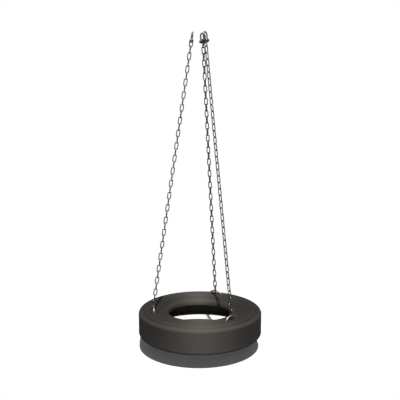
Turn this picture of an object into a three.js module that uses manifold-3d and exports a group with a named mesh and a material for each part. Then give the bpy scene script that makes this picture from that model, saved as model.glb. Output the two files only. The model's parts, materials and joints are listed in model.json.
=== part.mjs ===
// Tire swing: a rubber tire laid flat and hung by three steel chains.
// Each chain hooks a shackle at the top and a U-bolt in the tire's sidewall at the bottom.
// Millimetres, +Z up. The origin is the hanging point: level with the tops of the shackle bows,
// midway between them. The front of the swing faces -Y.

import * as THREE from 'three';
import { mergeVertices } from 'three/addons/utils/BufferGeometryUtils.js';
import Module from 'manifold-3d';

const wasm = await Module();
wasm.setup();

// ---- driving dimensions ----
const tireRadius = 308;        // outside of the tread
const tireHeight = 126;        // sidewall to bottom rim
const holeRadius = 158;        // hole in the middle of the upper sidewall
const lipDrop = 34;            // how far the lip round that hole turns down
const lipRound = 33;           // radius of the roll from the sidewall into the lip
const bottomHoleRadius = 266;  // the lower sidewall is cut back to a narrow rim
const shellWall = 9;           // rubber thickness
const grooveRadius = 270;      // moulded groove ring in the upper sidewall
const lipGrooveTurn = 29;      // and a second one round the lip, in degrees round its roll
const grooveWidth = 9;
const grooveDepth = 4;

const linkWire = 4.8;          // wire diameter of the chain
const linkInnerWidth = 9.6;    // opening across a link
const linkPitch = 30.45;       // opening along a link, so also the step from link to link
const linkCount = 43;          // links in each chain
const segmentSizes = [11, 10, 10, 10];  // middle links of each chain, from the top down

const gap = 0.3;               // between pieces that touch
const hookGap = 0.5;           // where an end link hooks its pin or U-bolt, so that it can rock
const linkGap = 0.4;           // between links that are separate pieces
const openPivotGap = 1.6;      // room at the rear and front chains' last link, where the tire tilts
const linkWeld = 0.6;          // overlap between the links joined in one segment

const anchorRadius = 235;      // U-bolts, from the tire's centre
const pinRadiusFromAxis = 41;  // shackle pins, from the hanging axis
const chains = [
  { side: 'left', azimuth: 180, lastGap: linkGap },
  { side: 'rear', azimuth: 60, lastGap: openPivotGap },
  { side: 'front', azimuth: -60, lastGap: openPivotGap },
];

const rodRadius = 4;           // U-bolt rod
const archHalfWidth = 32;      // U-bolt leg from the arch's middle, rod centre line
const archRise = 23;           // sidewall to the top of the arch, rod centre line
const archStraight = 3;        // straight leg above the sidewall, where the arch starts to bend
const plateLength = 94;
const plateWidth = 30;
const plateThickness = 4;
const washerRadius = 9;
const washerThickness = 2;
const nutAcrossFlats = 13;
const nutThickness = 6.5;
const legPastNut = 4;

const pinRadius = 4;           // shackle pin
const bowRodRadius = 3.5;
const bowHalfWidth = 10;       // bow rod centre line from the shackle's middle
const bowLegLength = 29.3;     // pin to the start of the bow's crown
const eyeRadius = 8.5;
const eyeWidth = 7;
const pinHeadRadius = 7.2;
const pinHeadThickness = 4;
const pinNutThickness = 5;
const pinPastNut = 1.2;

const holeClearance = 0.4;     // radius of a bolt hole over its bolt

// ---- worked-out dimensions ----
const shackleTop = bowLegLength + bowHalfWidth + bowRodRadius;  // pin centre to the bow's top
const chainLength = linkCount * linkPitch - pinRadius - rodRadius;  // pin centre to rod centre
const chainLean = Math.asin((anchorRadius - pinRadiusFromAxis) / chainLength);
const pinZ = -shackleTop * Math.cos(chainLean) - bowRodRadius * (1 - Math.cos(chainLean));
const apexZ = pinZ - chainLength * Math.cos(chainLean);
const tireTopZ = apexZ - archRise;
const tireBottomZ = tireTopZ - tireHeight;

// ---- materials ----
const rubber = new THREE.MeshStandardMaterial({ color: 0x47433d, roughness: 0.72, metalness: 0 });
const chainSteel = new THREE.MeshStandardMaterial({ color: 0x7c7c78, roughness: 0.42, metalness: 1 });
const boltSteel = new THREE.MeshStandardMaterial({ color: 0xa8a8a4, roughness: 0.35, metalness: 1 });
const shackleSteel = new THREE.MeshStandardMaterial({ color: 0x6c6c6a, roughness: 0.45, metalness: 1 });

// ---- helpers ----
const degrees = (angle) => angle * Math.PI / 180;

// Joins a geometry's shared corners and makes a solid that can be cut and joined.
function toSolid(geometry) {
  const bare = geometry.index ? geometry.toNonIndexed() : geometry.clone();
  bare.deleteAttribute('normal');
  bare.deleteAttribute('uv');
  const merged = mergeVertices(bare, 1e-3);
  const corners = merged.index.array;
  const kept = [];
  for (let i = 0; i < corners.length; i += 3) {
    const [a, b, c] = [corners[i], corners[i + 1], corners[i + 2]];
    if (a !== b && b !== c && c !== a) kept.push(a, b, c);
  }
  return new wasm.Manifold(new wasm.Mesh({
    numProp: 3,
    vertProperties: new Float32Array(merged.attributes.position.array),
    triVerts: new Uint32Array(kept),
  }));
}

function toGeometry(solid) {
  const mesh = solid.getMesh();
  const geometry = new THREE.BufferGeometry();
  geometry.setAttribute('position', new THREE.BufferAttribute(new Float32Array(mesh.vertProperties), 3));
  geometry.setIndex(new THREE.BufferAttribute(new Uint32Array(mesh.triVerts), 1));
  geometry.computeVertexNormals();
  return geometry;
}

function addMesh(parent, name, geometry, material) {
  const mesh = new THREE.Mesh(geometry, material);
  mesh.name = name;
  parent.add(mesh);
  return mesh;
}

// Points on an arc in a profile's plane, from one angle to another, in degrees.
function arc(x, y, radius, from, to, steps) {
  const points = [];
  for (let i = 0; i <= steps; i += 1) {
    const angle = degrees(from + (to - from) * i / steps);
    points.push(new THREE.Vector2(x + radius * Math.cos(angle), y + radius * Math.sin(angle)));
  }
  return points;
}

function circleShape(radius, sides) {
  return new THREE.Shape(arc(0, 0, radius, 0, 360 - 360 / sides, sides - 1));
}

// A cylinder along Z, from one height to another.
function cylinder(radius, from, to, sides) {
  const geometry = new THREE.CylinderGeometry(radius, radius, to - from, sides);
  return geometry.rotateX(Math.PI / 2).translate(0, 0, (from + to) / 2);
}

// Round rod bent into an arch: two legs up from z = 0 and half an ellipse over them, in the YZ plane.
function archRod(radius, halfWidth, legLength, crownHeight, steps) {
  const path = new THREE.CurvePath();
  const crown = new THREE.Curve();
  crown.getPoint = (t, target = new THREE.Vector3()) => target.set(
    0, -halfWidth * Math.cos(Math.PI * t), legLength + crownHeight * Math.sin(Math.PI * t));
  path.add(new THREE.LineCurve3(
    new THREE.Vector3(0, -halfWidth, 0), new THREE.Vector3(0, -halfWidth, legLength)));
  path.add(crown);
  path.add(new THREE.LineCurve3(
    new THREE.Vector3(0, halfWidth, legLength), new THREE.Vector3(0, halfWidth, 0)));
  return new THREE.ExtrudeGeometry(circleShape(radius, 8), { steps, extrudePath: path });
}

// A chain link in the XZ plane, a ring pulled long. It is open between two heights.
function linkGeometry(openTop, openBottom, wireSides, ringSides) {
  const middleRadius = (linkInnerWidth + linkWire) / 2;
  const sideShare = Math.cos(Math.PI / ringSides);
  const ringRadius = middleRadius / sideShare;
  const endShare = ringSides % 4 === 0 ? sideShare : 1;
  const stretch = (openTop - openBottom) / 2 - (ringRadius - linkWire / 2) * endShare;
  const ring = new THREE.TorusGeometry(ringRadius, linkWire / 2, wireSides, ringSides);
  ring.rotateZ(Math.PI / ringSides);
  const corners = ring.attributes.position;
  for (let i = 0; i < corners.count; i += 1) {
    corners.setY(i, corners.getY(i) + Math.sign(corners.getY(i)) * stretch);
  }
  return ring.rotateX(Math.PI / 2).translate(0, 0, (openTop + openBottom) / 2);
}

// ---- tire ----
function tireProfile() {
  const top = tireHeight;
  const crown = 2;
  const shoulder = 20;
  const innerShoulder = 11;
  const fillet = 6;
  const bottomRound = 14;
  const rimThickness = 8;
  const inner = tireRadius - shellWall;
  const lipX = holeRadius + lipRound;
  const lipZ = top - lipRound;
  const lipInside = lipRound - shellWall;
  const halfGroove = grooveWidth / 2;
  const grooveFloor = halfGroove - 0.5;
  const lipGroove = 90 + lipGrooveTurn;
  const halfLipGroove = THREE.MathUtils.radToDeg(halfGroove / lipRound);
  const lipGrooveFloor = THREE.MathUtils.radToDeg(grooveFloor / lipRound);
  const outline = [
    new THREE.Vector2(bottomHoleRadius, 0),
    ...arc(tireRadius - bottomRound, bottomRound, bottomRound, -90, 0, 3),
    ...arc(tireRadius - shoulder, top - crown - shoulder, shoulder, 0, 90, 4),
    new THREE.Vector2(grooveRadius + halfGroove, top),
    new THREE.Vector2(grooveRadius + grooveFloor, top - grooveDepth),
    new THREE.Vector2(grooveRadius - grooveFloor, top - grooveDepth),
    new THREE.Vector2(grooveRadius - halfGroove, top),
    ...arc(lipX, lipZ, lipRound, 90, lipGroove - halfLipGroove, 2),
    ...arc(lipX, lipZ, lipRound - grooveDepth, lipGroove - lipGrooveFloor, lipGroove + lipGrooveFloor, 1),
    ...arc(lipX, lipZ, lipRound, lipGroove + halfLipGroove, 180, 3),
    ...arc(holeRadius + shellWall / 2, top - lipDrop, shellWall / 2, 180, 360, 2),
    ...arc(lipX, lipZ, lipInside, 180, 90, 2),
    ...arc(inner - innerShoulder, top - shellWall - innerShoulder, innerShoulder, 90, 0, 2),
    ...arc(inner - fillet, rimThickness + fillet, fillet, 0, -90, 1),
    new THREE.Vector2(bottomHoleRadius, rimThickness),
  ];
  outline.push(outline[0].clone());
  return outline;
}

function buildTire(parent) {
  const lathe = new THREE.LatheGeometry(tireProfile(), 40).rotateX(Math.PI / 2);
  let shell = toSolid(lathe);
  if (shell.volume() < 0) throw new Error('the tire profile runs the wrong way round');
  for (const { azimuth } of chains) {
    for (const side of [-1, 1]) {
      const hole = cylinder(rodRadius + holeClearance, tireHeight - 2 * shellWall, tireHeight + 5, 10);
      hole.translate(anchorRadius, side * archHalfWidth, 0).rotateZ(degrees(azimuth));
      shell = shell.subtract(toSolid(hole));
    }
  }
  const mesh = addMesh(parent, 'tire_shell', toGeometry(shell), rubber);
  mesh.position.z = tireBottomZ;
}

// ---- what holds one chain to the tire ----
function ringGeometry(outline, holes, thickness) {
  for (const [x, y] of holes) {
    const points = arc(x, y, rodRadius + holeClearance, 0, -324, 9);
    outline.holes.push(new THREE.Path(points));
  }
  return new THREE.ExtrudeGeometry(outline, { depth: thickness, bevelEnabled: false });
}

function nutOutline(acrossFlats) {
  return new THREE.Shape(arc(0, 0, acrossFlats / 2 / Math.cos(Math.PI / 6), 0, 300, 5));
}

function plateOutline() {
  const round = 8;
  const x = plateWidth / 2 - round;
  const y = plateLength / 2 - round;
  return new THREE.Shape([
    ...arc(x, y, round, 0, 90, 2),
    ...arc(-x, y, round, 90, 180, 2),
    ...arc(-x, -y, round, 180, 270, 2),
    ...arc(x, -y, round, 270, 360, 2),
  ]);
}

function buildAnchor(parent, side) {
  const plateZ = tireTopZ - shellWall - gap - plateThickness;
  const washerZ = plateZ - gap - washerThickness;
  const nutZ = washerZ - gap - nutThickness;
  const legEndZ = nutZ - legPastNut;
  const legLength = tireTopZ + archStraight - legEndZ;
  const bolt = addMesh(parent, `${side}_u_bolt`,
    archRod(rodRadius, archHalfWidth, legLength, archRise - archStraight, 16), boltSteel);
  bolt.position.set(anchorRadius, 0, legEndZ);

  const plate = addMesh(parent, `${side}_backing_plate`,
    ringGeometry(plateOutline(), [[0, -archHalfWidth], [0, archHalfWidth]], plateThickness), boltSteel);
  plate.position.set(anchorRadius, 0, plateZ);

  for (const [leg, offset] of [['a', -archHalfWidth], ['b', archHalfWidth]]) {
    const washer = addMesh(parent, `${side}_washer_${leg}`,
      ringGeometry(circleShape(washerRadius, 12), [[0, 0]], washerThickness), boltSteel);
    washer.position.set(anchorRadius, offset, washerZ);
    const nut = addMesh(parent, `${side}_nut_${leg}`,
      ringGeometry(nutOutline(nutAcrossFlats), [[0, 0]], nutThickness), boltSteel);
    nut.position.set(anchorRadius, offset, nutZ);
  }
}

// ---- shackle, with its pin along Y at the local origin ----
function buildShackle(parent, side) {
  let bow = toSolid(archRod(bowRodRadius, bowHalfWidth, bowLegLength, bowHalfWidth, 12));
  for (const hand of [-1, 1]) {
    const middle = hand * bowHalfWidth;
    const eye = cylinder(eyeRadius, middle - eyeWidth / 2, middle + eyeWidth / 2, 12);
    bow = bow.add(toSolid(eye.rotateX(-Math.PI / 2)));
  }
  const reach = bowHalfWidth + eyeWidth;
  const pinHole = cylinder(pinRadius + holeClearance, -reach, reach, 10).rotateX(-Math.PI / 2);
  addMesh(parent, `${side}_shackle_bow`, toGeometry(bow.subtract(toSolid(pinHole))), shackleSteel);

  const eyeOutside = bowHalfWidth + eyeWidth / 2;
  const headStart = eyeOutside + gap;
  const shankEnd = -(eyeOutside + gap + pinNutThickness + pinPastNut);
  const pin = new THREE.LatheGeometry([
    new THREE.Vector2(0, shankEnd),
    new THREE.Vector2(pinRadius - 0.8, shankEnd),
    new THREE.Vector2(pinRadius, shankEnd + 0.8),
    new THREE.Vector2(pinRadius, headStart),
    new THREE.Vector2(pinHeadRadius, headStart),
    new THREE.Vector2(pinHeadRadius, headStart + pinHeadThickness - 1),
    new THREE.Vector2(pinHeadRadius - 1, headStart + pinHeadThickness),
    new THREE.Vector2(0, headStart + pinHeadThickness),
  ], 12);
  addMesh(parent, `${side}_shackle_pin`, toGeometry(toSolid(pin)), shackleSteel);

  const nut = ringGeometry(nutOutline(nutAcrossFlats), [[0, 0]], pinNutThickness);
  const nutMesh = addMesh(parent, `${side}_shackle_nut`, nut.rotateX(-Math.PI / 2), shackleSteel);
  nutMesh.position.y = -(eyeOutside + gap + pinNutThickness);
}

// ---- chain, hanging down along local -Z from the pin ----
function buildChain(parent, side, lastGap) {
  const contactZ = (index) => pinRadius - index * linkPitch;
  const endLink = (name, openTop, openBottom) => addMesh(
    parent, name, toGeometry(toSolid(linkGeometry(openTop, openBottom, 6, 10))), chainSteel);

  endLink(`${side}_top_link`, contactZ(0) + hookGap, contactZ(1) - linkGap / 2);

  const names = ['upper', 'upper_middle', 'lower_middle', 'lower'];
  let index = 1;
  segmentSizes.forEach((size, place) => {
    let segment = null;
    for (let i = 0; i < size; i += 1) {
      const above = i === 0 ? linkGap / 2 : -linkWeld / 2;
      const isLast = place === segmentSizes.length - 1 && i === size - 1;
      const endGap = isLast ? lastGap : linkGap;
      const below = i === size - 1 ? endGap / 2 : -linkWeld / 2;
      const link = linkGeometry(contactZ(index) + above, contactZ(index + 1) - below, 4, 6);
      if (index % 2 === 1) link.rotateZ(Math.PI / 2);
      segment = segment ? segment.add(toSolid(link)) : toSolid(link);
      index += 1;
    }
    addMesh(parent, `${side}_chain_${names[place]}`, toGeometry(segment), chainSteel);
  });

  endLink(`${side}_bottom_link`, contactZ(index) + lastGap / 2, contactZ(index + 1) - hookGap);
}

// ---- assembly ----
const swing = new THREE.Group();
buildTire(swing);
for (const { side, azimuth, lastGap } of chains) {
  const arm = new THREE.Group();
  arm.rotation.z = degrees(azimuth);
  swing.add(arm);
  buildAnchor(arm, side);

  const hanging = new THREE.Group();
  hanging.position.set(pinRadiusFromAxis, 0, pinZ);
  hanging.rotation.y = -chainLean;
  arm.add(hanging);
  buildShackle(hanging, side);
  buildChain(hanging, side, lastGap);
}

export default swing;
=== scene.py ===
"""Tire swing: the looks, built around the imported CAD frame. Metres, +Z up, front towards -Y."""

import json
import math

import bmesh
import bpy
import numpy as np
from mathutils import Matrix, Vector


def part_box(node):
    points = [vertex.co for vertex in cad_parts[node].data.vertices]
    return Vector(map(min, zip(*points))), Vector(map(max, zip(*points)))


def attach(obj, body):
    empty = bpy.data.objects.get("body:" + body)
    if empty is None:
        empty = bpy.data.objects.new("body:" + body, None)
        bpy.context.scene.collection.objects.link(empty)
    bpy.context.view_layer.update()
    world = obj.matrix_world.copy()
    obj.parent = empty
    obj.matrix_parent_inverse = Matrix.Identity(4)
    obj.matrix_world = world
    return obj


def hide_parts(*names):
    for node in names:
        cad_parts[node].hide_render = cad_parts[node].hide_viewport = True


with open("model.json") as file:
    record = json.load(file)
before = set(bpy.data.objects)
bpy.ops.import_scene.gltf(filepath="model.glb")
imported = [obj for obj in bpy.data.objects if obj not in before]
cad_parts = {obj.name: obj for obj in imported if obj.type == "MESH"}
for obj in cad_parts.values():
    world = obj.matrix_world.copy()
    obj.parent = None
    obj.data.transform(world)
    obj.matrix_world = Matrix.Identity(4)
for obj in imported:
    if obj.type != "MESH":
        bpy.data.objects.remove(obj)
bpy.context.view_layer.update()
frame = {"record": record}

MM = 0.001

# ---- places, from the frame ----
joints = {joint["name"]: joint for joint in frame["record"]["behaviour"]["joints"]}
PIN = Vector(joints["swing"]["pos_m"])         # left shackle pin's centre
APEX = Vector(joints["tire_tilt"]["pos_m"])    # left U-bolt's rod centre, at its top
PIN_RADIUS = -PIN.x                            # shackle pins, from the hanging axis
ANCHOR_RADIUS = -APEX.x                        # U-bolts, from the hanging axis
CHAIN_LENGTH = (APEX - PIN).length
LEAN = math.asin((ANCHOR_RADIUS - PIN_RADIUS) / CHAIN_LENGTH)
TIRE_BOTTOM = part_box("tire_shell")[0].z
TIRE_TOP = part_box("tire_shell")[1].z
TIRE_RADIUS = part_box("tire_shell")[1].x
CHAINS = {"left": 180, "rear": 60, "front": -60}   # azimuths in degrees
SEGMENTS = {"upper": 11, "upper_middle": 10, "lower_middle": 10, "lower": 10}

# ---- sizes of the hardware ----
WIRE = 4.8 * MM                   # diameter of the chain's wire
LINK_OPENING = 9.6 * MM           # between a link's two legs
ROD = 4.0 * MM                    # radius of the U-bolt's rod
HOLE_CLEARANCE = 0.4 * MM         # round a rod in its hole
ARCH_HALF_WIDTH = 32.0 * MM       # U-bolt leg from the arch's middle
ARCH_STRAIGHT = 3.0 * MM          # straight leg above the sidewall, where the arch starts to bend
SHELL_WALL = 9.0 * MM
GAP = 0.3 * MM                    # between pieces that touch
PLATE_THICKNESS = 4.0 * MM
WASHER_THICKNESS = 2.0 * MM
NUT_THICKNESS = 6.5 * MM
LEG_PAST_NUT = 4.0 * MM
THREAD_PITCH = 1.25 * MM
THREAD_DEPTH = 0.45 * MM
THREAD_END = 1.2 * MM             # length and depth of the chamfer at a thread's end
THREAD_END_DEPTH = 0.7 * MM
NUT_FLATS = 13.0 * MM
BOW_ROD = 3.5 * MM                # radius of the shackle's rod
BOW_HALF_WIDTH = 10.0 * MM        # the eyes' middles, from the bow's middle
BOW_HEIGHT = 39.3 * MM            # from the pin's centre up to the rod's centre at the top
BOW_NECK = 9.7 * MM               # half spacing of the bow's legs at the eyes, and at their widest
BOW_WIDEST = 11.2 * MM
BOW_CROWN = 14.0 * MM             # from the widest place up to the rod's centre at the top
EYE_RADIUS = 8.5 * MM
EYE_WIDTH = 7.0 * MM
PIN_ROD = 4.0 * MM                # radius of the shackle's pin
PIN_HEAD_THICKNESS = 4.0 * MM
PIN_HEAD_FLATS = 12.4 * MM
PIN_NUT_THICKNESS = 5.0 * MM
PIN_PAST_NUT = 1.2 * MM
LINK_PITCH = (CHAIN_LENGTH + PIN_ROD + ROD) / (sum(SEGMENTS.values()) + 2)


# ---- mesh helpers ----
def make_object(name, vertices, faces, smooth=True):
    """A new mesh object, linked to the scene."""
    mesh = bpy.data.meshes.new(name)
    mesh.from_pydata([tuple(v) for v in vertices], [], faces)
    mesh.update()
    for polygon in mesh.polygons:
        polygon.use_smooth = smooth
    obj = bpy.data.objects.new(name, mesh)
    bpy.context.scene.collection.objects.link(obj)
    return obj


def turn_outwards(obj):
    """Joins the vertices that coincide, and turns every face outwards."""
    work = bmesh.new()
    work.from_mesh(obj.data)
    bmesh.ops.remove_doubles(work, verts=work.verts, dist=1e-6)
    bmesh.ops.recalc_face_normals(work, faces=work.faces)
    work.to_mesh(obj.data)
    work.free()
    return obj


def bake_modifiers(obj):
    """Applies every modifier, so that the mesh is final."""
    bpy.context.view_layer.update()
    evaluated = obj.evaluated_get(bpy.context.evaluated_depsgraph_get())
    mesh = bpy.data.meshes.new_from_object(evaluated)
    obj.modifiers.clear()
    obj.data = mesh
    return obj


def boolean(obj, other, operation):
    """Cuts, joins or trims obj with another object, which is used up."""
    modifier = obj.modifiers.new("cut", "BOOLEAN")
    modifier.operation = operation
    modifier.solver = "EXACT"
    modifier.object = other
    bake_modifiers(obj)
    bpy.data.objects.remove(other)
    return obj


def bevel(obj, width, segments, angle=35):
    """Rounds the edges sharper than an angle."""
    modifier = obj.modifiers.new("bevel", "BEVEL")
    modifier.width = width
    modifier.segments = segments
    modifier.limit_method = "ANGLE"
    modifier.angle_limit = math.radians(angle)
    modifier.harden_normals = False
    return bake_modifiers(obj)


def shade(obj, angle):
    """Smooth shading with the edges sharper than an angle kept."""
    work = bmesh.new()
    work.from_mesh(obj.data)
    for face in work.faces:
        face.smooth = True
    for edge in work.edges:
        edge.smooth = len(edge.link_faces) == 2 and edge.calc_face_angle(0) < math.radians(angle)
    work.to_mesh(obj.data)
    work.free()
    return obj


def placed_copy(base, name, matrix):
    """A copy of a base piece, its mesh moved into place."""
    copy = bpy.data.objects.new(name, base.data.copy())
    bpy.context.scene.collection.objects.link(copy)
    copy.data.transform(matrix)
    return copy


def tube(points, plane_normal, radius_at, sides, closed=False):
    """Vertices and faces of a round rod along points that lie in one plane.
    radius_at(index, angle) is the rod's radius there."""
    points = [Vector(p) for p in points]
    count = len(points)
    plane_normal = Vector(plane_normal)
    vertices = []
    for i, point in enumerate(points):
        before = points[i - 1] if closed or i > 0 else point
        after = points[(i + 1) % count] if closed or i < count - 1 else point
        outward = (after - before).normalized().cross(plane_normal)
        for k in range(sides):
            angle = 2 * math.pi * k / sides
            radius = float(radius_at(i, angle))
            spoke = math.cos(angle) * outward + math.sin(angle) * plane_normal
            vertices.append(point + radius * spoke)
    faces = []
    for i in range(count if closed else count - 1):
        here, there = i * sides, ((i + 1) % count) * sides
        for k in range(sides):
            step = (k + 1) % sides
            faces.append((here + k, here + step, there + step, there + k))
    if not closed:
        faces.append(tuple(reversed(range(sides))))
        faces.append(tuple(range((count - 1) * sides, count * sides)))
    return vertices, faces


def lathe(name, profile, sides, axis_ends=False):
    """A ring turned round Z from (radius, height) points.
    With axis_ends the profile starts and ends on the axis, and the result is solid."""
    vertices = []
    for k in range(sides):
        angle = 2 * math.pi * k / sides
        vertices += [(r * math.cos(angle), r * math.sin(angle), z) for r, z in profile]
    count = len(profile)
    faces = []
    for k in range(sides):
        here, there = k * count, ((k + 1) % sides) * count
        for i in range(count - 1 if axis_ends else count):
            after = (i + 1) % count
            faces.append((here + i, there + i, there + after, here + after))
    return turn_outwards(make_object(name, vertices, faces))


def arc(x, y, radius, start, end, steps):
    """Points on an arc, angles in degrees."""
    angles = [math.radians(start + (end - start) * i / steps) for i in range(steps + 1)]
    return [(x + radius * math.cos(a), y + radius * math.sin(a)) for a in angles]


def prism(name, outline, low, high):
    """A flat outline drawn along Z from low to high."""
    count = len(outline)
    vertices = [(x, y, low) for x, y in outline] + [(x, y, high) for x, y in outline]
    faces = [(i, (i + 1) % count, count + (i + 1) % count, count + i) for i in range(count)]
    faces.append(tuple(reversed(range(count))))
    faces.append(tuple(range(count, 2 * count)))
    return turn_outwards(make_object(name, vertices, faces, smooth=False))


def rod_drill(rod_radius, low, high):
    """A cutter along Z for the hole that a rod goes through."""
    return prism("drill", arc(0, 0, rod_radius + HOLE_CLEARANCE, 0, 345, 23), low, high)


def arm_frame(azimuth):
    """Local X points out from the hanging axis towards a chain."""
    return Matrix.Rotation(math.radians(azimuth), 4, "Z")


def chain_frame(azimuth):
    """Origin at the shackle pin's centre, the pin along local Y, the chain down local -Z."""
    at_pin = Matrix.Translation((PIN_RADIUS, 0, PIN.z))
    return arm_frame(azimuth) @ at_pin @ Matrix.Rotation(-LEAN, 4, "Y")


# ---- material helpers ----
MIX_FIRST = 6                     # a mix node's colour sockets: their names are used more than once
MIX_SECOND = 7
MIX_RESULT = 2


class Shader:
    """A material's node tree, with one short call for each kind of node."""

    def __init__(self, name):
        self.material = bpy.data.materials.new(name)
        self.material.use_nodes = True
        self.tree = self.material.node_tree
        self.bsdf = self.tree.nodes["Principled BSDF"]
        self.coordinates = self.node("ShaderNodeTexCoord").outputs["Object"]

    def node(self, kind, **settings):
        node = self.tree.nodes.new(kind)
        for key, value in settings.items():
            setattr(node, key, value)
        return node

    def link(self, source, target):
        self.tree.links.new(source, target)

    def noise(self, scale, detail=4, roughness=0.6, stretch=None):
        """Noise from 0 to 1, finer in the axes where stretch is over 1."""
        node = self.node("ShaderNodeTexNoise")
        node.inputs["Scale"].default_value = scale
        node.inputs["Detail"].default_value = detail
        node.inputs["Roughness"].default_value = roughness
        source = self.coordinates
        if stretch:
            mapping = self.node("ShaderNodeMapping")
            mapping.inputs["Scale"].default_value = stretch
            self.link(source, mapping.inputs["Vector"])
            source = mapping.outputs["Vector"]
        self.link(source, node.inputs["Vector"])
        return node.outputs["Fac"]

    def ramp(self, source, low, high, start=(0, 0, 0), end=(1, 1, 1)):
        """One colour below low, another above high, and a blend between."""
        node = self.node("ShaderNodeValToRGB")
        node.color_ramp.elements[0].position = low
        node.color_ramp.elements[1].position = high
        node.color_ramp.elements[0].color = (*start, 1)
        node.color_ramp.elements[1].color = (*end, 1)
        self.link(source, node.inputs["Fac"])
        return node.outputs["Color"]

    def mix(self, factor, first, second):
        """Blends two colours. Each argument is a value or another node's output."""
        node = self.node("ShaderNodeMix", data_type="RGBA")
        sockets = (node.inputs["Factor"], node.inputs[MIX_FIRST], node.inputs[MIX_SECOND])
        for socket, value in zip(sockets, (factor, first, second)):
            if isinstance(value, bpy.types.NodeSocket):
                self.link(value, socket)
            else:
                socket.default_value = (*value, 1) if isinstance(value, tuple) else value
        return node.outputs[MIX_RESULT]

    def math(self, operation, first, second=None):
        node = self.node("ShaderNodeMath", operation=operation)
        for socket, value in zip(node.inputs, (first, second)):
            if isinstance(value, bpy.types.NodeSocket):
                self.link(value, socket)
            elif value is not None:
                socket.default_value = value
        return node.outputs[0]

    def range(self, source, low, high):
        """Stretches 0 to 1 over low to high."""
        node = self.node("ShaderNodeMapRange")
        node.inputs["To Min"].default_value = low
        node.inputs["To Max"].default_value = high
        self.link(source, node.inputs["Value"])
        return node.outputs["Result"]

    def bump(self, height, strength, distance, below=None):
        """Relief from a height, laid over the relief of another bump node."""
        node = self.node("ShaderNodeBump")
        node.inputs["Strength"].default_value = strength
        node.inputs["Distance"].default_value = distance
        self.link(height, node.inputs["Height"])
        if below:
            self.link(below, node.inputs["Normal"])
        return node.outputs["Normal"]


def radius_and_height(shader):
    """Distance from the hanging axis, and height, in metres."""
    apart = shader.node("ShaderNodeSeparateXYZ")
    shader.link(shader.coordinates, apart.inputs[0])
    x_squared = shader.math("POWER", apart.outputs["X"], 2.0)
    y_squared = shader.math("POWER", apart.outputs["Y"], 2.0)
    return shader.math("SQRT", shader.math("ADD", x_squared, y_squared)), apart.outputs["Z"]


RING_WAVE = 2500.0                # the mould's rings, in radians a metre: one every 2.5 mm


def rubber_colour(shader):
    """Black with cloudy dust and small scuffs, a painted sheen that makes its sloping shoulder and lip
    paler, and a much paler inside that is partly dust and partly painted light.
    """
    dust = shader.ramp(shader.noise(9, 6, 0.65), 0.42, 0.72)
    scuffs = shader.ramp(shader.noise(60, 5, 0.7, stretch=(1, 1, 3)), 0.60, 0.75)
    clean = shader.mix(shader.noise(4, 3), (0.0155, 0.0152, 0.0148), (0.0200, 0.0195, 0.0188))
    dusty = shader.mix(shader.math("MULTIPLY", dust, 0.25), clean, (0.056, 0.050, 0.042))
    worn = shader.mix(shader.math("MULTIPLY", scuffs, 0.15), dusty, (0.062, 0.058, 0.052))
    # Painted highlight: surfaces that slope between upright and level, the shoulder and the lip, are
    # painted paler in place of their sheen.
    slope = shader.node("ShaderNodeSeparateXYZ")
    shader.link(shader.node("ShaderNodeTexCoord").outputs["Normal"], slope.inputs[0])
    not_upright = shader.ramp(slope.outputs["Z"], 0.15, 0.50)
    not_level = shader.ramp(slope.outputs["Z"], 0.88, 0.99, (1, 1, 1), (0, 0, 0))
    painted_sheen_mask = shader.math("MULTIPLY", shader.math("MULTIPLY", not_upright, not_level), 0.7)
    with_painted_sheen = shader.mix(painted_sheen_mask, worn, (0.047, 0.043, 0.038))
    # Painted light, with some dust: the shell's inside is painted much paler than the rubber, standing
    # in for the light that reaches it.
    inside = shader.node("ShaderNodeAttribute", attribute_name="inside").outputs["Fac"]
    inside_dust_and_painted_light = shader.mix(shader.noise(14, 5, 0.6), (0.080, 0.074, 0.066), (0.125, 0.114, 0.098))
    return shader.mix(inside, with_painted_sheen, inside_dust_and_painted_light)


def rubber_material():
    """Matt rubber with the fine rings of its mould, which stretch its shine out along the radius."""
    shader = Shader("tire_rubber")
    radius, height = radius_and_height(shader)
    shader.link(rubber_colour(shader), shader.bsdf.inputs["Base Color"])
    shader.link(shader.range(shader.noise(35, 5, 0.6), 0.76, 0.84), shader.bsdf.inputs["Roughness"])
    shader.bsdf.inputs["Specular IOR Level"].default_value = 0.88
    shader.bsdf.inputs["Specular Tint"].default_value = (1.0, 0.93, 0.86, 1)
    shader.bsdf.inputs["Anisotropic"].default_value = 0.6
    shader.bsdf.inputs["Anisotropic Rotation"].default_value = 0.25
    round_axis = shader.node("ShaderNodeTangent", direction_type="RADIAL", axis="Z")
    shader.link(round_axis.outputs["Tangent"], shader.bsdf.inputs["Tangent"])
    along_outline = shader.math("ADD", radius, height)
    rings = shader.math("SINE", shader.math("MULTIPLY", along_outline, RING_WAVE))
    grain = shader.bump(shader.noise(900, 3, 0.6), 0.25, 0.0004)
    ringed = shader.bump(rings, 0.10, 0.0003, below=grain)
    waves = shader.bump(shader.noise(22, 3, 0.5), 0.20, 0.002, below=ringed)
    shader.link(waves, shader.bsdf.inputs["Normal"])
    return shader.material


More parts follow.
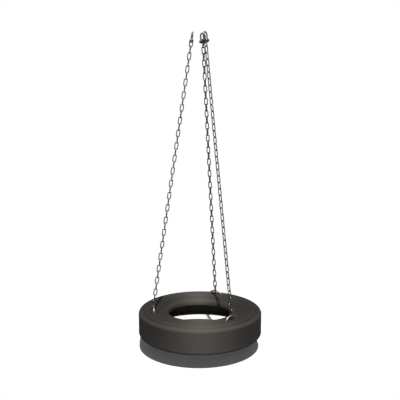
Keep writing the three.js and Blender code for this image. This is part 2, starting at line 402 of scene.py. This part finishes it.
def steel_material(name, dark, light, rust, roughness, grain):
    """Zinc-plated or galvanised steel: cloudy, finely scratched, and a little brown in spots."""
    shader = Shader(name)
    clouds = shader.noise(160, 5, 0.6)
    plated = shader.mix(shader.ramp(clouds, 0.35, 0.68), dark, light)
    spots = shader.ramp(shader.noise(420, 4, 0.7), 0.62, 0.74)
    stained = shader.mix(shader.math("MULTIPLY", spots, rust), plated, (0.16, 0.11, 0.07))
    shader.link(stained, shader.bsdf.inputs["Base Color"])
    shader.bsdf.inputs["Metallic"].default_value = 1.0
    shader.link(shader.range(shader.noise(260, 4), *roughness), shader.bsdf.inputs["Roughness"])
    scratches = shader.bump(shader.noise(1500, 3, 0.7, stretch=(1, 1, 0.15)), grain, 0.0002)
    pits = shader.bump(shader.noise(500, 4, 0.6), grain, 0.0003, below=scratches)
    shader.link(pits, shader.bsdf.inputs["Normal"])
    return shader.material


def floor_material():
    """Pale to the camera, and dark to all other light, so that little light comes up from below."""
    shader = Shader("studio_floor")
    tone = shader.mix(shader.noise(3, 3), (0.88, 0.88, 0.88), (0.92, 0.92, 0.92))
    seen = shader.node("ShaderNodeLightPath").outputs["Is Camera Ray"]
    shader.link(shader.mix(seen, (0.12, 0.12, 0.12), tone), shader.bsdf.inputs["Base Color"])
    shader.bsdf.inputs["Roughness"].default_value = 0.9
    # Painted light: the floor glows faintly, which lifts its shadow evenly and lights the tire a little
    # from below.
    shader.bsdf.inputs["Emission Color"].default_value = (1, 1, 1, 1)
    shader.bsdf.inputs["Emission Strength"].default_value = 0.012
    shader.bsdf.inputs["Specular IOR Level"].default_value = 0.1
    return shader.material


# ---- tire ----
HOLE_RADIUS = 158.0 * MM
LIP_ROUND = 33.0 * MM
RIM = 8.0 * MM                    # thickness of the flat round the open underside
GROOVE_HALF_WIDTH = 4.5 * MM      # the two grooves moulded into the sidewall and its lip
GROOVE_DEPTH = 3.8 * MM


def mark_inside(tire):
    """Marks the points of the shell's inside, which is painted paler: partly dust, partly painted light.
    """
    inside = tire.data.attributes.new("inside", "FLOAT", "POINT")
    margin = 1 * MM
    for index, vertex in enumerate(tire.data.vertices):
        radius = math.hypot(vertex.co.x, vertex.co.y)
        height = vertex.co.z
        from_roll = (radius - HOLE_RADIUS - LIP_ROUND, height - TIRE_TOP + LIP_ROUND)
        behind_lip = from_roll[0] > 0 or math.hypot(*from_roll) < LIP_ROUND - SHELL_WALL + margin
        behind_tread = radius < TIRE_RADIUS - SHELL_WALL + margin
        below_sidewall = height < TIRE_TOP - SHELL_WALL + margin
        above_rim = height > TIRE_BOTTOM + RIM - margin
        inside.data[index].value = float(behind_lip and behind_tread and below_sidewall and above_rim)


def groove_depth(across):
    """Depth of a moulded groove at a distance across from its middle."""
    return GROOVE_DEPTH * math.exp(-(across / GROOVE_HALF_WIDTH) ** 6)


def tire_profile():
    """The shell's outline as (radius, height) points, all the way round."""
    top = TIRE_TOP - TIRE_BOTTOM
    bottom_hole = 266 * MM        # radius of the opening in the underside
    bottom_round = 14 * MM
    shoulder = 20 * MM            # radius of the round between the tread and the sidewall
    crown = 2 * MM                # the sidewall's rise from the shoulder
    crown_width = 26 * MM
    mould_line = 0.5 * MM
    groove = 270 * MM             # radius of the sidewall's groove
    lip_groove = math.radians(29)     # the lip's groove, from the top of the roll
    lip_drop = 34 * MM            # the lip's lower edge, under the sidewall
    inner = TIRE_RADIUS - SHELL_WALL
    inner_round = 11 * MM
    rim_round = 6 * MM
    tread_high = top - crown - shoulder
    lip_x = HOLE_RADIUS + LIP_ROUND   # middle of the lip's roll
    lip_z = top - LIP_ROUND
    inner_x = inner - inner_round
    inner_z = top - SHELL_WALL - inner_round

    def along(start, end, steps):
        """Points between two ends of a straight line."""
        run, rise = end[0] - start[0], end[1] - start[1]
        return [(start[0] + run * i / steps, start[1] + rise * i / steps) for i in range(1, steps)]

    def tread():
        """The tread from bottom to top: flat, with a thin mould line round its middle."""
        middle = (bottom_round + tread_high) / 2
        points = []
        for i in range(1, 40):
            z = bottom_round + (tread_high - bottom_round) * i / 40
            ridge = mould_line * math.exp(-((z - middle) / (1.1 * MM)) ** 2)
            points.append((TIRE_RADIUS - mould_line + ridge, z))
        return points

    def sidewall():
        """The upper sidewall from the shoulder in to the lip, with its groove."""
        start = TIRE_RADIUS - shoulder
        points = []
        for i in range(1, 110):
            r = start + (lip_x - start) * i / 110
            rise = crown * math.sin(math.pi / 2 * min(1.0, (start - r) / crown_width))
            points.append((r, top - crown + rise - groove_depth(r - groove)))
        return points

    def lip():
        """The roll from the sidewall down into the hole, with the second groove near its start."""
        points = []
        for i in range(91):
            turn = math.radians(i)
            radius = LIP_ROUND - groove_depth((turn - lip_groove) * LIP_ROUND)
            points.append((lip_x - radius * math.sin(turn), lip_z + radius * math.cos(turn)))
        return points

    outline = [(bottom_hole, 0), *along((bottom_hole, 0), (TIRE_RADIUS - bottom_round, 0), 4)]
    outline += arc(TIRE_RADIUS - bottom_round, bottom_round, bottom_round, -90, 0, 12)
    outline += tread()
    outline += arc(TIRE_RADIUS - shoulder, tread_high, shoulder, 0, 90, 18)
    outline += sidewall()
    outline += lip()
    outline += along((HOLE_RADIUS, lip_z), (HOLE_RADIUS, top - lip_drop), 4)
    outline += arc(HOLE_RADIUS + SHELL_WALL / 2, top - lip_drop, SHELL_WALL / 2, 180, 360, 10)
    outline += arc(lip_x, lip_z, LIP_ROUND - SHELL_WALL, 180, 90, 8)
    outline += along((lip_x, top - SHELL_WALL), (inner_x, top - SHELL_WALL), 12)
    outline += arc(inner_x, inner_z, inner_round, 90, 0, 10)
    outline += along((inner, inner_z), (inner, RIM + rim_round), 8)
    outline += arc(inner - rim_round, RIM + rim_round, rim_round, 0, -90, 6)
    outline += [(bottom_hole, RIM)]
    return [(r, z + TIRE_BOTTOM) for r, z in outline]


def build_tire(material):
    """The rubber shell, with two holes for each U-bolt's legs."""
    tire = lathe("tire", tire_profile(), 240)
    for azimuth in CHAINS.values():
        for hand in (-1, 1):
            leg = Matrix.Translation((ANCHOR_RADIUS, hand * ARCH_HALF_WIDTH, TIRE_TOP))
            drill = rod_drill(ROD, -20 * MM, 10 * MM)
            drill.data.transform(arm_frame(azimuth) @ leg)
            boolean(tire, drill, "DIFFERENCE")
    shade(tire, 50)
    mark_inside(tire)
    finish_piece(tire, material, "tire", "tire_rubber", "tire_shell")


def finish_piece(obj, material, body, slot, *nodes):
    """Gives a piece its material and its body, and hides the CAD nodes that it stands for. The slot is
    not used.
    """
    obj.data.materials.clear()
    obj.data.materials.append(material)
    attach(obj, body)
    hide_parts(*nodes)


# ---- threads, nuts and washers ----
def thread_wave(distance, angle):
    """From 0 on a thread's crest to 1 in its root, at a distance along it and an angle round it."""
    turn = (distance / THREAD_PITCH - angle / (2 * math.pi)) % 1.0
    return abs(2 * turn - 1)


def thread_radius(radius, distance, angle, end):
    """A threaded rod's radius, chamfered at its lower end."""
    fade = min(1.0, (distance - end) / THREAD_END)
    return radius - THREAD_DEPTH * thread_wave(distance, angle) - (1 - fade) * THREAD_END_DEPTH


def chamfered_hex(name, flats, thickness, both_ends):
    """A hexagon from z = 0 up, its corners turned off at the top, or at both ends."""
    corner = flats / 2 / math.cos(math.pi / 6)
    face = flats / 2 * 0.94       # radius of the round flat that the chamfer leaves
    outside = corner * 1.1
    slope = math.tan(math.radians(28))
    drop = (outside - face) * slope
    profile = [
        (0, 0), (face if both_ends else outside, 0), (outside, drop),
        (outside, thickness - drop), (face, thickness), (0, thickness),
    ]
    barrel = lathe("barrel", profile, 48, axis_ends=True)
    hexagon = prism(name, arc(0, 0, corner, 0, 300, 5), 0, thickness)
    return boolean(hexagon, barrel, "INTERSECT")


def build_nut(thickness):
    """A base nut with a threaded hole, its lower face at z = 0."""
    nut = chamfered_hex("nut_base", NUT_FLATS, thickness, both_ends=True)
    steps = 32
    heights = [-0.5 * MM + (thickness + 1 * MM) * i / steps for i in range(steps + 1)]

    def radius_at(index, angle):
        return ROD + 0.15 * MM + 0.35 * MM * thread_wave(heights[index], angle)

    core = make_object("core", *tube([(0, 0, z) for z in heights], (0, 1, 0), radius_at, 24))
    boolean(nut, turn_outwards(core), "DIFFERENCE")
    return shade(bevel(nut, 0.12 * MM, 1), 30)


def build_washer():
    """A base washer with softened edges, its lower face at z = 0."""
    top = WASHER_THICKNESS
    edge = 0.25 * MM
    outer = 9 * MM
    inner = ROD + HOLE_CLEARANCE
    profile = [
        (inner + edge, 0), (outer - edge, 0), (outer, edge), (outer, top - edge),
        (outer - edge, top), (inner + edge, top), (inner, top - edge), (inner, edge),
    ]
    return shade(lathe("washer_base", profile, 48), 60)


def build_plate():
    """A base plate with round corners and a hole for each leg, its lower face at z = 0."""
    thickness = PLATE_THICKNESS
    corner = 8 * MM
    x = 15 * MM - corner
    y = 47 * MM - corner
    outline = (arc(x, y, corner, 0, 90, 8) + arc(-x, y, corner, 90, 180, 8)
               + arc(-x, -y, corner, 180, 270, 8) + arc(x, -y, corner, 270, 360, 8))
    plate = prism("plate_base", outline, 0, thickness)
    for hand in (-1, 1):
        drill = rod_drill(ROD, -1 * MM, thickness + 1 * MM)
        drill.data.transform(Matrix.Translation((0, hand * ARCH_HALF_WIDTH, 0)))
        boolean(plate, drill, "DIFFERENCE")
    return shade(bevel(plate, 0.5 * MM, 2), 30)


def anchor_heights():
    """Lower faces of the plate, the washers and the nuts, and the ends of the U-bolt's legs."""
    plate_z = TIRE_TOP - SHELL_WALL - GAP - PLATE_THICKNESS
    washer_z = plate_z - GAP - WASHER_THICKNESS
    nut_z = washer_z - GAP - NUT_THICKNESS
    return plate_z, washer_z, nut_z, nut_z - LEG_PAST_NUT


def build_u_bolt():
    """The arch's top is the local origin, its legs go down -Z, spread along Y."""
    leg_end = anchor_heights()[3] - APEX.z
    thread_top = TIRE_TOP - APEX.z - 8 * MM
    bend_z = TIRE_TOP - APEX.z + ARCH_STRAIGHT
    half = ARCH_HALF_WIDTH
    threaded = np.arange(leg_end, thread_top, THREAD_PITCH / 6)
    plain = np.linspace(thread_top, bend_z, 5)[1:]
    left = [(0, -half, z) for z in threaded] + [(0, -half, z) for z in plain]
    crown = [(0, -half * math.cos(a), bend_z * (1 - math.sin(a)))
             for a in np.linspace(0, math.pi, 49)[1:-1]]
    right = [(0, half, z) for _, _, z in reversed(left)]
    points = left + crown + right

    def radius_at(index, angle):
        z = points[index][2]
        on_leg = abs(abs(points[index][1]) - half) < 1e-9
        if not on_leg or z > thread_top:
            return ROD
        return thread_radius(ROD, z, angle, leg_end)

    bolt = make_object("u_bolt_base", *tube(points, (1, 0, 0), radius_at, 20))
    return shade(turn_outwards(bolt), 40)


def build_anchor(side, azimuth, bases, material):
    """One U-bolt with its plate, washers and nuts, all riding on the tire."""
    plate_z, washer_z, nut_z, _ = anchor_heights()
    arm = arm_frame(azimuth)

    def add(kind, name, y, z):
        node = f"{side}_{name}"
        place = arm @ Matrix.Translation((ANCHOR_RADIUS, y, z))
        piece = placed_copy(bases[kind], f"{node}_look", place)
        finish_piece(piece, material, "tire", "bolt_steel", node)

    add("u_bolt", "u_bolt", 0, APEX.z)
    add("plate", "backing_plate", 0, plate_z)
    for letter, hand in (("a", -1), ("b", 1)):
        add("washer", f"washer_{letter}", hand * ARCH_HALF_WIDTH, washer_z)
        add("nut", f"nut_{letter}", hand * ARCH_HALF_WIDTH, nut_z)


# ---- shackle ----
Z_TO_MINUS_Y = Matrix.Rotation(math.pi / 2, 4, "X")


def build_bow():
    """A forged bow: a round loop, a little narrower just above its two round eyes.
    The pin's centre is the origin, and the eyes face along Y."""
    widest_z = BOW_HEIGHT - BOW_CROWN
    legs = []
    for z in np.linspace(0, widest_z, 20):
        share = z / widest_z
        flare = share * share * (3 - 2 * share)
        legs.append((0, -BOW_NECK - (BOW_WIDEST - BOW_NECK) * flare, z))
    crown = [(0, -BOW_WIDEST * math.cos(a), widest_z + BOW_CROWN * math.sin(a))
             for a in np.linspace(0, math.pi, 25)[1:-1]]
    points = legs + crown + [(0, -y, z) for _, y, z in reversed(legs)]

    def radius_at(index, angle):
        """The rod swells sideways towards its eyes."""
        swell = max(0.0, 1 - points[index][2] / (15 * MM))
        return BOW_ROD + 1.6 * MM * swell ** 2 * abs(math.sin(angle))

    bow = make_object("bow_base", *tube(points, (1, 0, 0), radius_at, 24))
    turn_outwards(bow)
    edge = 1.2 * MM
    profile = [(0, -EYE_WIDTH / 2)]
    profile += arc(EYE_RADIUS - edge, -EYE_WIDTH / 2 + edge, edge, -90, 0, 4)
    profile += arc(EYE_RADIUS - edge, EYE_WIDTH / 2 - edge, edge, 0, 90, 4)
    profile += [(0, EYE_WIDTH / 2)]
    for hand in (-1, 1):
        eye = lathe("eye", profile, 48, axis_ends=True)
        eye.data.transform(Matrix.Translation((0, hand * BOW_HALF_WIDTH, 0)) @ Z_TO_MINUS_Y)
        boolean(bow, eye, "UNION")
    remesh = bow.modifiers.new("forge", "REMESH")
    remesh.mode = "VOXEL"
    remesh.voxel_size = 0.45 * MM
    smooth = bow.modifiers.new("soften", "SMOOTH")
    smooth.factor = 0.5
    smooth.iterations = 4
    bake_modifiers(bow)
    drill = rod_drill(PIN_ROD, -30 * MM, 30 * MM)
    drill.data.transform(Z_TO_MINUS_Y)
    return shade(boolean(bow, drill, "DIFFERENCE"), 50)


def build_pin():
    """Shackle pin along Z: a hexagon head at the top, a shank and a thread at the bottom."""
    outside = BOW_HALF_WIDTH + EYE_WIDTH / 2
    head_z = outside + GAP
    end_z = -(outside + GAP + PIN_NUT_THICKNESS + PIN_PAST_NUT)
    thread_top = -outside + 1 * MM
    heights = list(np.arange(end_z, thread_top, THREAD_PITCH / 6))
    heights += list(np.linspace(thread_top, head_z, 6))
    points = [(0, 0, z) for z in heights]

    def radius_at(index, angle):
        z = heights[index]
        if z > thread_top:
            return PIN_ROD
        return thread_radius(PIN_ROD, z, angle, end_z)

    pin = turn_outwards(make_object("pin_base", *tube(points, (0, 1, 0), radius_at, 20)))
    head = chamfered_hex("head", PIN_HEAD_FLATS, PIN_HEAD_THICKNESS, both_ends=False)
    head.data.transform(Matrix.Translation((0, 0, head_z - 0.05 * MM)))
    return shade(boolean(pin, head, "UNION"), 30)


def build_shackle(side, azimuth, bases, material):
    """One bow, pin and nut, held still at the top."""
    place = chain_frame(azimuth)
    beside_eye = Matrix.Translation((0, -(BOW_HALF_WIDTH + EYE_WIDTH / 2 + GAP), 0))
    pieces = {
        "bow": (bases["bow"], place),
        "pin": (bases["pin"], place @ Z_TO_MINUS_Y.inverted()),
        "nut": (bases["pin_nut"], place @ beside_eye @ Z_TO_MINUS_Y),
    }
    for name, (base, matrix) in pieces.items():
        piece = placed_copy(base, f"{side}_shackle_{name}_look", matrix)
        finish_piece(piece, material, "root", "shackle_steel", f"{side}_shackle_{name}")


# ---- chain ----
def link_mesh(open_top, open_bottom, sideways):
    """One welded link in the chain's frame, open between two heights, with its weld bead on one leg."""
    half_width = (LINK_OPENING + WIRE) / 2
    top = open_top - LINK_OPENING / 2
    bottom = open_bottom + LINK_OPENING / 2
    flat = [(half_width, z) for z in np.linspace(bottom, top, 13)[1:-1]]
    path = arc(0, top, half_width, 0, 180, 16)
    path += [(-x, z) for x, z in reversed(flat)]
    path += arc(0, bottom, half_width, 180, 360, 16)
    path += flat
    middle = (top + bottom) / 2

    def radius_at(index, angle):
        x, z = path[index]
        if x < half_width * 0.99:
            return WIRE / 2
        return WIRE / 2 + 0.35 * MM * math.exp(-((z - middle) / (1.6 * MM)) ** 2)

    vertices, faces = tube([(x, 0, z) for x, z in path], (0, 1, 0), radius_at, 14, closed=True)
    if sideways:
        vertices = [Vector((-v.y, v.x, v.z)) for v in vertices]
    return vertices, faces


def build_links(name, first, count, material, body, node, place, gap_above, gap_below):
    """A run of links as separate rings in one piece. Link n is open from contact n to n + 1."""
    touch = 0.05 * MM
    vertices, faces = [], []
    for number in range(first, first + count):
        above = gap_above if number == first else touch
        below = gap_below if number == first + count - 1 else touch
        top = PIN_ROD - number * LINK_PITCH + above
        bottom = PIN_ROD - (number + 1) * LINK_PITCH - below
        ring, ring_faces = link_mesh(top, bottom, number % 2 == 1)
        start = len(vertices)
        vertices += ring
        faces += [tuple(start + corner for corner in face) for face in ring_faces]
    links = make_object(name, vertices, faces)
    links.data.transform(place)
    finish_piece(turn_outwards(links), material, body, "chain_steel", node)


def build_chain(side, azimuth, material):
    """All the links of one chain: the first, four runs and the last.
    The rear and front chains' last links ride on the tire, with room for it to tilt."""
    place = chain_frame(azimuth)
    body = f"{side}_chain"
    last_body = body if side == "left" else "tire"
    hook = 0.5 * MM               # room round the pin and the U-bolt
    touch = 0.15 * MM             # room between two pieces
    last_gap = touch if side == "left" else 0.8 * MM
    build_links(f"{side}_first_link", 0, 1, material, body, f"{side}_top_link", place, hook, touch)
    first = 1
    for name, count in SEGMENTS.items():
        below = last_gap if name == "lower" else touch
        node = f"{side}_chain_{name}"
        build_links(f"{side}_links_{name}", first, count, material, body, node, place, touch, below)
        first += count
    last_node = f"{side}_bottom_link"
    build_links(f"{side}_last_link", first, 1, material, last_body, last_node, place, last_gap, hook)


# ---- stage, light and camera ----
CAMERA_AZIMUTH = math.radians(-9.5)      # from straight in front, towards the left
CAMERA_DISTANCE = 3.071                  # from the hanging axis, level
CAMERA_ABOVE_TIRE = 1.032                # over the tire's top
CAMERA_DOWN = math.radians(8.91)
VIEW_ANGLE = math.radians(35)
FLOOR_BELOW_TIRE = 0.090
FLOOR_RADIUS = 0.95
SUN_AZIMUTH = CAMERA_AZIMUTH + math.radians(4.2)
SUN_ELEVATION = math.radians(54.5)
LIGHT_DISTANCE = 3.0


def build_camera():
    """At the photo's viewing angle."""
    data = bpy.data.cameras.new("camera")
    data.sensor_width = 36
    data.lens = data.sensor_width / 2 / math.tan(VIEW_ANGLE / 2)
    camera = bpy.data.objects.new("camera", data)
    bpy.context.scene.collection.objects.link(camera)
    camera.location = (
        CAMERA_DISTANCE * math.sin(CAMERA_AZIMUTH),
        -CAMERA_DISTANCE * math.cos(CAMERA_AZIMUTH),
        TIRE_TOP + CAMERA_ABOVE_TIRE,
    )
    camera.rotation_euler = (math.pi / 2 - CAMERA_DOWN, 0, CAMERA_AZIMUTH)
    bpy.context.scene.camera = camera


def build_floor():
    """A round pale floor. The world beyond its edge is as white as it is."""
    z = TIRE_BOTTOM - FLOOR_BELOW_TIRE
    rim = [(x, y, z) for x, y in arc(0, 0, FLOOR_RADIUS, 0, 357, 119)]
    floor = make_object("floor", rim, [tuple(range(len(rim)))], smooth=False)
    floor.data.materials.append(floor_material())


def aim(obj, target):
    """Turns a light to face a point."""
    obj.rotation_euler = (Vector(target) - obj.location).to_track_quat("-Z", "Y").to_euler()


def build_lights():
    """A small sun for the crisp shadow, and a weak soft fill from the camera's side."""
    sun_data = bpy.data.lights.new("key", "SUN")
    sun_data.energy = 4.4
    sun_data.angle = math.radians(1)
    sun_data.color = (1.0, 0.975, 0.94)
    sun = bpy.data.objects.new("key", sun_data)
    bpy.context.scene.collection.objects.link(sun)
    level = LIGHT_DISTANCE * math.cos(SUN_ELEVATION)
    sun.location = (
        level * math.sin(SUN_AZIMUTH),
        -level * math.cos(SUN_AZIMUTH),
        LIGHT_DISTANCE * math.sin(SUN_ELEVATION),
    )
    aim(sun, (0, 0, 0))

    fill_data = bpy.data.lights.new("fill", "AREA")
    fill_data.energy = 8
    fill_data.size = 1.5
    fill = bpy.data.objects.new("fill", fill_data)
    bpy.context.scene.collection.objects.link(fill)
    fill.location = (
        LIGHT_DISTANCE * math.sin(CAMERA_AZIMUTH),
        -LIGHT_DISTANCE * math.cos(CAMERA_AZIMUTH),
        TIRE_TOP + 1.0,
    )
    aim(fill, (0, 0, TIRE_TOP))


def build_world():
    """White to the camera, and a dim grey as light."""
    world = bpy.data.worlds.new("studio")
    bpy.context.scene.world = world
    world.use_nodes = True
    tree = world.node_tree
    background = tree.nodes["Background"]
    background.inputs["Color"].default_value = (1, 1, 1, 1)
    path = tree.nodes.new("ShaderNodeLightPath")
    strength = tree.nodes.new("ShaderNodeMapRange")
    strength.inputs["To Min"].default_value = 0.12
    strength.inputs["To Max"].default_value = 1.0
    tree.links.new(path.outputs["Is Camera Ray"], strength.inputs["Value"])
    tree.links.new(strength.outputs["Result"], background.inputs["Strength"])
    bpy.context.scene.view_settings.view_transform = "Standard"


def main():
    build_camera()
    build_world()
    build_lights()
    build_floor()
    rubber = rubber_material()
    chain_steel = steel_material(
        "chain_steel", dark=(0.21, 0.21, 0.205), light=(0.36, 0.36, 0.35),
        rust=0.25, roughness=(0.22, 0.38), grain=0.18,
    )
    bolt_steel = steel_material(
        "bolt_steel", dark=(0.42, 0.42, 0.41), light=(0.60, 0.60, 0.58),
        rust=0.12, roughness=(0.38, 0.54), grain=0.15,
    )
    shackle_steel = steel_material(
        "shackle_steel", dark=(0.17, 0.17, 0.168), light=(0.30, 0.30, 0.29),
        rust=0.20, roughness=(0.34, 0.52), grain=0.22,
    )
    build_tire(rubber)
    bases = {
        "nut": build_nut(NUT_THICKNESS),
        "pin_nut": build_nut(PIN_NUT_THICKNESS),
        "washer": build_washer(),
        "plate": build_plate(),
        "u_bolt": build_u_bolt(),
        "bow": build_bow(),
        "pin": build_pin(),
    }
    for side, azimuth in CHAINS.items():
        build_anchor(side, azimuth, bases, bolt_steel)
        build_shackle(side, azimuth, bases, shackle_steel)
        build_chain(side, azimuth, chain_steel)
    for base in bases.values():
        bpy.data.objects.remove(base)


main()
